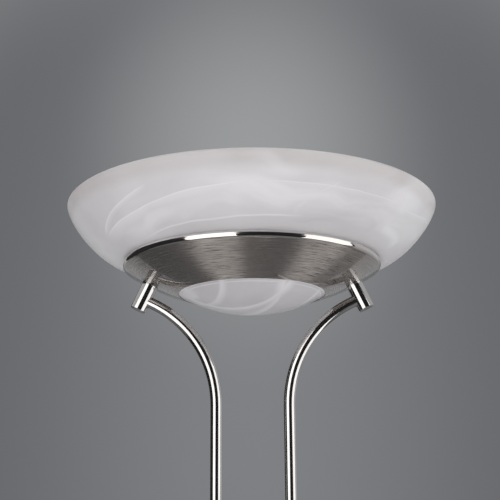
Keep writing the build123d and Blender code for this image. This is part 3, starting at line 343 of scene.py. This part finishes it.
def steatite(name):
    """Pressed steatite ceramic, unglazed: warm white, sandy at 0.7 mm, darker where handled."""
    material, tree, shader = bare(name)
    place = measured_from(tree, (0, 0, 0))
    sand = add(tree, "TexNoise", {"Vector": place, "Scale": 1 / (0.7 * MM), "Detail": 3.0}, "Fac")
    clouds = add(tree, "TexNoise", {"Vector": place, "Scale": 60.0, "Detail": 3.0}, "Fac")
    colour = add(tree, "ValToRGB", {"Fac": clouds}, stops=[(0.30, "#D9D4C8"), (0.70, "#EDEAE1")])
    rough = add(tree, "Math", {0: sand, 1: 0.2, 2: 0.55}, operation="MULTIPLY_ADD")
    relief = add(tree, "Bump", {"Height": sand, "Strength": 0.6, "Distance": 0.04 * MM})
    feed(tree, shader, {"Base Color": colour, "Roughness": rough, "Normal": relief})
    return material


def opal_bulb(name, cap_height):
    """Opal glass bulb with a satin white coat inside, under a screw cap of nickel-plated brass:
    above the cap's height the surface is that metal."""
    material, tree, shader = bare(name)
    height = add(tree, "SeparateXYZ", {0: measured_from(tree, (0, 0, 0))}, "Z")
    place = measured_from(tree, HEAD_HINGE)
    dust = add(tree, "TexNoise", {"Vector": place, "Scale": 150.0, "Detail": 4.0}, "Fac")
    cap = add(tree, "Math", {0: height, 1: cap_height}, operation="GREATER_THAN")
    glass = add(tree, "ValToRGB", {"Fac": dust}, stops=[(0.30, "#E9E7E1"), (0.70, "#F4F3EE")])
    colour = add(tree, "Mix", {0: cap, 6: glass, 7: "#C9B889"}, 2, data_type="RGBA")
    rough = add(tree, "Math", {0: dust, 1: 0.10, 2: 0.18}, operation="MULTIPLY_ADD")
    feed(tree, shader, {"Base Color": colour, "Roughness": rough, "Metallic": cap,
                        "Subsurface Weight": 0.2, "Subsurface Scale": 4 * MM})
    return material


def fused_quartz(name):
    """Fused quartz of the halogen lamp: clear, with drawing lines about 1 mm apart."""
    material, tree, shader = bare(name)
    place = measured_from(tree, LAMP_MIDDLE, (12.0, 900.0, 900.0))
    lines = add(tree, "TexNoise", {"Vector": place, "Scale": 1.0, "Detail": 2.0}, "Fac")
    colour = add(tree, "ValToRGB", {"Fac": lines}, stops=[(0.30, "#F2F5F6"), (0.70, "#FFFFFF")])
    rough = add(tree, "Math", {0: lines, 1: 0.04, 2: 0.01}, operation="MULTIPLY_ADD")
    relief = add(tree, "Bump", {"Height": lines, "Strength": 0.3, "Distance": 0.02 * MM})
    feed(tree, shader, {"Base Color": colour, "Roughness": rough, "Normal": relief,
                        "Transmission Weight": 1.0, "IOR": 1.46})
    return material


# ---------------------------------------------------------------- felt, rubber and plastic
def needle_felt(name):
    """Black needle felt under the base: matted fibres 0.5 mm apart, no shine, lint on it."""
    material, tree, shader = bare(name)
    place = measured_from(tree, (0, 0, 0))
    fibres = add(tree, "TexNoise", {"Vector": place, "Scale": 1 / (0.5 * MM), "Detail": 5.0,
                                    "Roughness": 0.8}, "Fac")
    lint = add(tree, "TexNoise", {"Vector": place, "Scale": 1 / (3.3 * MM), "Detail": 6.0,
                                  "Roughness": 0.8}, "Fac")
    mat = add(tree, "Mix", {0: 0.5, 2: fibres, 3: lint}, 0)
    colour = add(tree, "ValToRGB", {"Fac": mat},
                 stops=[(0.35, "#141415"), (0.60, "#2A2A2B"), (0.75, "#474748")])
    relief = add(tree, "Bump", {"Height": fibres, "Strength": 0.8, "Distance": 0.3 * MM})
    feed(tree, shader, {"Base Color": colour, "Roughness": 0.95, "Sheen Weight": 0.3,
                        "Normal": relief})
    return material


def moulded_rubber(name):
    """Soft rubber moulded in a spark-eroded tool: matt black, grain 0.3 mm, with some bloom."""
    material, tree, shader = bare(name)
    place = measured_from(tree, (0, 0, 0))
    grain = add(tree, "TexVoronoi", {"Vector": place, "Scale": 1 / (0.3 * MM)}, "Distance")
    bloom = add(tree, "TexNoise", {"Vector": place, "Scale": 120.0, "Detail": 3.0}, "Fac")
    colour = add(tree, "ValToRGB", {"Fac": bloom}, stops=[(0.35, "#1A1A1B"), (0.75, "#333334")])
    rough = add(tree, "Math", {0: bloom, 1: 0.2, 2: 0.6}, operation="MULTIPLY_ADD")
    relief = add(tree, "Bump", {"Height": grain, "Strength": 0.6, "Distance": 0.04 * MM})
    feed(tree, shader, {"Base Color": colour, "Roughness": rough, "Normal": relief})
    return material


def moulded_phenolic(name):
    """Phenolic moulding of the dimmers: near black, semi-matt, faint flow marks."""
    material, tree, shader = bare(name)
    place = measured_from(tree, (0, 0, 0), (90.0, 300.0, 90.0))
    flow = add(tree, "TexNoise", {"Vector": place, "Scale": 1.0, "Detail": 4.0}, "Fac")
    colour = add(tree, "ValToRGB", {"Fac": flow}, stops=[(0.30, "#191715"), (0.70, "#2C2A28")])
    rough = add(tree, "Math", {0: flow, 1: 0.15, 2: 0.35}, operation="MULTIPLY_ADD")
    relief = add(tree, "Bump", {"Height": flow, "Strength": 0.4, "Distance": 0.05 * MM})
    feed(tree, shader, {"Base Color": colour, "Roughness": rough, "Normal": relief})
    return material


# ---------------------------------------------------------------- finishes on the nodes
# the bowl's long veins, with heights from its rim: start and end turn, height at the start, rise,
# bow, width over, width under, strength
BOWL_VEINS = [
    (-66, 8, -47.5 * MM, 24.5 * MM, 1.5 * MM, 1.0 * MM, 9.0 * MM, 0.62),
    (-6, 64, -24.0 * MM, -2.0 * MM, -1.5 * MM, 1.0 * MM, 8.0 * MM, 0.48),
    (-64, -30, -46.0 * MM, 26.0 * MM, 2.0 * MM, 1.0 * MM, 4.0 * MM, 0.55),
    (13, 27, -45.0 * MM, 24.0 * MM, 0.0, 1.0 * MM, 6.0 * MM, 0.42),
    (-52, 20, -54.5 * MM, 6.5 * MM, 0.8 * MM, 0.9 * MM, 0.9 * MM, 0.50),
    (48, 78, -30.0 * MM, 9.0 * MM, -2.0 * MM, 1.6 * MM, 5.0 * MM, 0.40),
    (50, 72, -46.0 * MM, -6.0 * MM, 2.0 * MM, 5.0 * MM, 1.6 * MM, 0.45),
    (84, 168, -44.0 * MM, 26.0 * MM, 3.0 * MM, 1.5 * MM, 8.0 * MM, 0.55),
    (-170, -96, -20.0 * MM, -24.0 * MM, 4.0 * MM, 1.5 * MM, 8.0 * MM, 0.55),
    (-128, -88, -28.0 * MM, 12.0 * MM, 2.0 * MM, 1.4 * MM, 4.0 * MM, 0.40),
]
# under FOOT_SHADE the bowl is painted greyer, a painted shade from the pan
RIM_SHADE, FOOT_SHADE = -14.0 * MM, -49.0 * MM  # heights from the bowl's rim
# the small glass's pale bands: centre, radius, width outside, width inside, strength
LENS_SWIRLS = [
    (-80 * MM, -106 * MM, 168 * MM, 9.0 * MM, 2.5 * MM, 0.50),
    (-110 * MM, -80 * MM, 142 * MM, 4.0 * MM, 10.0 * MM, 0.44),
    (-60 * MM, -120 * MM, 112 * MM, 12.0 * MM, 2.0 * MM, 0.50),
    (-120 * MM, -60 * MM, 90 * MM, 8.0 * MM, 3.0 * MM, 0.40),
]
LENS_EDGE = 73.9 * MM  # radius
LENS_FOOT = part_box("lower_glass")[0][2]
PAN_LIP = 130.8 * MM  # radius
BULB_CAP = HEAD_HINGE[2] - 64.5 * MM
FINE_GRIT = 0.12 * MM

finish_of = {
    "alabaster_glass": alabaster_glass("alabaster_glass_bowl", (0, 0, RIM_HEIGHT), 90 * MM,
                                       veins=BOWL_VEINS, rim=RIM_SHADE, foot=FOOT_SHADE),
    "brushed_nickel": satin_nickel("satin_nickel_straight", grit=FINE_GRIT, straight=True),
    "polished_nickel": buffed_nickel("buffed_nickel_plate"),
    "zinc_steel": bright_zinc("bright_zinc_plate"),
    "brass": turned_brass("turned_brass"),
    "cast_iron": sand_cast_iron("sand_cast_iron"),
    "rubber": moulded_rubber("moulded_rubber"),
    "felt": needle_felt("needle_felt"),
    "ceramic": steatite("steatite_ceramic"),
    "black_plastic": moulded_phenolic("phenolic_moulding"),
    "opal_glass": opal_bulb("opal_bulb_glass", BULB_CAP),
    "clear_glass": fused_quartz("fused_quartz"),
}
own_finish = {
    "pan": satin_nickel("satin_nickel_pan", lip=PAN_LIP),
    "base_cover": satin_nickel("satin_nickel_cover"),
    "reading_cap": satin_nickel("satin_nickel_cap", HEAD_HINGE, grit=FINE_GRIT, rounds=1.0),
    "shade_ring": satin_nickel("satin_nickel_ring", HEAD_HINGE, grit=FINE_GRIT, rounds=1.0),
    "reading_shade": alabaster_glass("alabaster_glass_shade", HEAD_HINGE, 40 * MM),
    "lower_glass": alabaster_glass("alabaster_glass_lower", (0, 0, LENS_FOOT), 60 * MM,
                                   swirls=LENS_SWIRLS, edge=LENS_EDGE, thin=0.35),
}
for entry in frame["record"]["subparts"]:
    name = entry["node"]
    nodes[name].data.materials.clear()
    nodes[name].data.materials.append(own_finish.get(name) or finish_of[entry["material_slot"]])


# ---------------------------------------------------------------- small fittings
FIXED_SIDE = (0.0, 0.3, 0.954)  # a direction that the wire never runs along


def tube_along(name, path, thickness, sides):
    """Round wire along a path: at each point of the path, a circle of the wire's radius in the
    plane of the path's normal and binormal, which come from the path's direction and a fixed side;
    both ends are closed by a face."""
    direction = np.gradient(path, axis=0)
    direction /= np.linalg.norm(direction, axis=1, keepdims=True)
    side = np.cross(direction, FIXED_SIDE)
    side /= np.linalg.norm(side, axis=1, keepdims=True)
    other = np.cross(direction, side)
    turn = np.linspace(0, 2 * np.pi, sides, endpoint=False)[None, :, None]
    circle = np.cos(turn) * side[:, None] + np.sin(turn) * other[:, None]
    rings = path[:, None] + thickness / 2 * circle
    count = len(path)
    along, around = np.meshgrid(np.arange(count - 1), np.arange(sides), indexing="ij")
    beside = (around + 1) % sides
    quads = np.stack([along * sides + around, along * sides + beside,
                      (along + 1) * sides + beside, (along + 1) * sides + around], -1)
    ends = [list(range(sides))[::-1], [(count - 1) * sides + i for i in range(sides)]]
    mesh = bpy.data.meshes.new(name)
    mesh.from_pydata(rings.reshape(-1, 3).tolist(), [], quads.reshape(-1, 4).tolist() + ends)
    mesh.polygons.foreach_set("use_smooth", np.ones(len(mesh.polygons), dtype=bool))
    piece = bpy.data.objects.new(name, mesh)
    scene.collection.objects.link(piece)
    return piece


def tungsten(name):
    """Drawn tungsten wire, grey, with draw marks 0.2 mm apart."""
    material, tree, shader = bare(name)
    place = measured_from(tree, LAMP_MIDDLE)
    marks = add(tree, "TexNoise", {"Vector": place, "Scale": 1 / (0.2 * MM)}, "Fac")
    colour = add(tree, "ValToRGB", {"Fac": marks}, stops=[(0.30, "#55565A"), (0.70, "#8A8B8F")])
    rough = add(tree, "Math", {0: marks, 1: 0.2, 2: 0.25}, operation="MULTIPLY_ADD")
    feed(tree, shader, {"Base Color": colour, "Roughness": rough, "Metallic": 1.0})
    return material


# the halogen lamp's filament: a helix on the tube's axis
COIL_LENGTH, COIL_WIDTH, COIL_TURNS, COIL_WIRE = 50 * MM, 2.2 * MM, 36, 0.4 * MM
POINTS_PER_TURN, WIRE_SIDES = 12, 6
share = np.linspace(-0.5, 0.5, COIL_TURNS * POINTS_PER_TURN)
coil_turn = 2 * np.pi * COIL_TURNS * share
coil = np.stack([COIL_LENGTH * share, COIL_WIDTH / 2 * np.cos(coil_turn),
                 COIL_WIDTH / 2 * np.sin(coil_turn)], 1)
filament = tube_along("lamp_filament", coil + np.array(LAMP_MIDDLE), COIL_WIRE, WIRE_SIDES)
filament.data.materials.append(tungsten("drawn_tungsten"))
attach(filament, "stem")


# ---------------------------------------------------------------- stage, light and camera
def sheet_of(name, points, quads, colour):
    """a sheet of the stage, painted matt"""
    mesh = bpy.data.meshes.new(name)
    mesh.from_pydata(points, [], quads)
    sheet = bpy.data.objects.new(name, mesh)
    scene.collection.objects.link(sheet)
    material, tree, shader = bare(name + "_paint")
    feed(tree, shader, {"Base Color": colour, "Roughness": 0.9})
    mesh.materials.append(material)
    return sheet


FLOOR_REACH, FLOOR_LEVEL = 25.0, -0.5 * MM
corners = [(x * FLOOR_REACH, y * FLOOR_REACH, FLOOR_LEVEL)
           for x, y in ((-1, -1), (1, -1), (1, 1), (-1, 1))]
sheet_of("studio_floor", corners, [(0, 1, 2, 3)], "#DCDCDD")

# a cloth that the metal mirrors and nothing else sees: a mid grey one lies round the base, and a
# dark one stands on a circle round the stem, open behind, where the backdrop is
CLOTH_INNER, CLOTH_OUTER, CLOTH_LOW, CLOTH_TOP = 0.35, 3.2, 0.1 * MM, 3.4
CLOTH_FROM, CLOTH_TO, CLOTH_STEPS = -140, 97, 24
LYING_CLOTH, STANDING_CLOTH = "#848486", "#2E2E2F"


def cloth(name, lower, upper, first, last, colour):
    """a strip of cloth round the stem between two circles, each a radius and a height, from a
    first turn to a last in degrees from the front"""
    turns = np.radians(np.linspace(first, last, CLOTH_STEPS))
    points = [(radius * math.sin(turn), -radius * math.cos(turn), level)
              for radius, level in (lower, upper) for turn in turns]
    quads = [(i, i + 1, CLOTH_STEPS + i + 1, CLOTH_STEPS + i) for i in range(CLOTH_STEPS - 1)]
    sheet = sheet_of(name, points, quads, colour)
    for ray in ("camera", "diffuse", "transmission", "shadow", "volume_scatter"):
        setattr(sheet, "visible_" + ray, False)


cloth("lying_cloth", (CLOTH_INNER, CLOTH_LOW), (CLOTH_OUTER, CLOTH_LOW), -180, 180, LYING_CLOTH)
cloth("standing_cloth", (CLOTH_OUTER, CLOTH_LOW), (CLOTH_OUTER, CLOTH_TOP), CLOTH_FROM, CLOTH_TO,
      STANDING_CLOTH)


def area_lamp(name, wide, tall, power, place):
    """area light of a width and a height in metres and a power in watts, hidden from the camera"""
    lamp = bpy.data.lights.new(name, "AREA")
    lamp.shape = "RECTANGLE"
    lamp.size = wide
    lamp.size_y = tall
    lamp.energy = power
    box = bpy.data.objects.new(name, lamp)
    scene.collection.objects.link(box)
    box.location = place
    box.visible_camera = False
    return box


BOX_DISTANCE, BOX_HEIGHT, BOX_TALL = 2.0, 1.55, 2.4


def softbox(name, turn, half_angle, glow):
    """softbox that faces the stem and spans an angle either side of its turn from the front, in
    degrees; glow is its power over each square metre"""
    wide = 2 * BOX_DISTANCE * math.tan(math.radians(half_angle))
    turn = math.radians(turn)
    place = (BOX_DISTANCE * math.sin(turn), -BOX_DISTANCE * math.cos(turn), BOX_HEIGHT)
    box = area_lamp(name, wide, BOX_TALL, glow * wide * BOX_TALL, place)
    aim = Vector((0, 0, BOX_HEIGHT)) - Vector(box.location)
    box.rotation_euler = aim.to_track_quat("-Z", "Y").to_euler()


softbox("softbox_left", turn=-34.5, half_angle=22.0, glow=5.2)
softbox("softbox_right", turn=69.0, half_angle=24.0, glow=4.5)
area_lamp("softbox_overhead", 1.6, 1.6, power=3.0, place=(0, 0.3, 3.2))
# light thrown back up from the floor in front, too dull for the metal to show
floor_bounce = area_lamp("floor_bounce", 1.6, 1.6, power=7.0, place=(0, -1.0, 0.3))
floor_bounce.rotation_euler = (math.pi, 0, 0)
floor_bounce.visible_glossy = False

# the backdrop: neutral grey paper behind the lamp, brightest behind the bowl and falling off to
# the sides; the rest of the room is an even pale grey
PAPER_SIDES, PAPER_MIDDLE, PAPER_GLOW, ROOM = "#67696C", "#7F8184", "#999B9C", "#B9BABB"
world = bpy.data.worlds.new("studio")
scene.world = world
world.use_nodes = True
sky = world.node_tree
sky.nodes.clear()
view = add(sky, "TexCoord", {}, "Generated")
x, behind, z = (add(sky, "SeparateXYZ", {0: view}, axis) for axis in "XYZ")
ahead = add(sky, "Math", {0: behind, 1: 0.05}, operation="MAXIMUM")
sideways = add(sky, "Math", {0: x, 1: ahead}, operation="DIVIDE")
upwards = add(sky, "Math", {0: z, 1: ahead}, operation="DIVIDE")


def glow_round(elevation, inner, outer, flatten):
    """1 within inner degrees of a point of the backdrop straight ahead, 0 past outer, smooth
    between; a flatten above 1 makes it wider than high, one below 1 higher than wide"""
    point = math.tan(math.radians(elevation))
    over = add(sky, "Math", {0: upwards, 1: point}, operation="SUBTRACT")
    offset = add(sky, "CombineXYZ", {"X": sideways, "Y": over})
    offset = add(sky, "VectorMath", {0: offset, 1: (1, flatten, 0)}, operation="MULTIPLY")
    away = add(sky, "VectorMath", {0: offset}, "Value", operation="LENGTH")
    inner, outer = (math.tan(math.radians(angle)) for angle in (inner, outer))
    return add(sky, "MapRange", {"Value": away, "From Min": inner, "From Max": outer,
                                 "To Min": 1.0, "To Max": 0.0}, **SMOOTH)


middle = glow_round(elevation=8.0, inner=0.0, outer=18.0, flatten=0.35)
paper = add(sky, "Mix", {0: middle, 6: PAPER_SIDES, 7: PAPER_MIDDLE}, 2, data_type="RGBA")
glow = glow_round(elevation=21.0, inner=0.0, outer=13.0, flatten=0.8)
paper = add(sky, "Mix", {0: glow, 6: paper, 7: PAPER_GLOW}, 2, data_type="RGBA")
sheet = glow_round(elevation=12.0, inner=19.0, outer=42.0, flatten=1.0)
hung = add(sky, "Math", {0: behind, 1: 0.1}, operation="GREATER_THAN")
hung = add(sky, "Math", {0: hung, 1: sheet}, operation="MULTIPLY")
paper = add(sky, "Mix", {0: hung, 6: ROOM, 7: paper}, 2, data_type="RGBA")
background = add(sky, "Background", {"Color": paper, "Strength": 1.0})
add(sky, "OutputWorld", {"Surface": background})

scene.view_settings.view_transform = "Standard"

# the photograph's camera: in front of the stem and under the rim, in metres, looking up; angles
# in degrees
CAMERA_BESIDE, CAMERA_AWAY, CAMERA_UNDER, FOCAL_MM, SENSOR_MM = 0.0013, 0.945, 0.294, 67.7, 36
LOOK_UP, LOOK_LEFT, ROLL = 15.02, 0.19, -0.36
camera_data = bpy.data.cameras.new("camera")
camera_data.lens = FOCAL_MM
camera_data.sensor_width = SENSOR_MM
camera_data.clip_start = 0.05
camera = bpy.data.objects.new("camera", camera_data)
scene.collection.objects.link(camera)
place = Matrix.Translation((CAMERA_BESIDE, -CAMERA_AWAY, RIM_HEIGHT - CAMERA_UNDER))
pitch = Euler((math.radians(90 + LOOK_UP), 0, math.radians(LOOK_LEFT))).to_matrix().to_4x4()
camera.matrix_world = place @ pitch @ Matrix.Rotation(math.radians(ROLL), 4, "Z")
scene.camera = camera
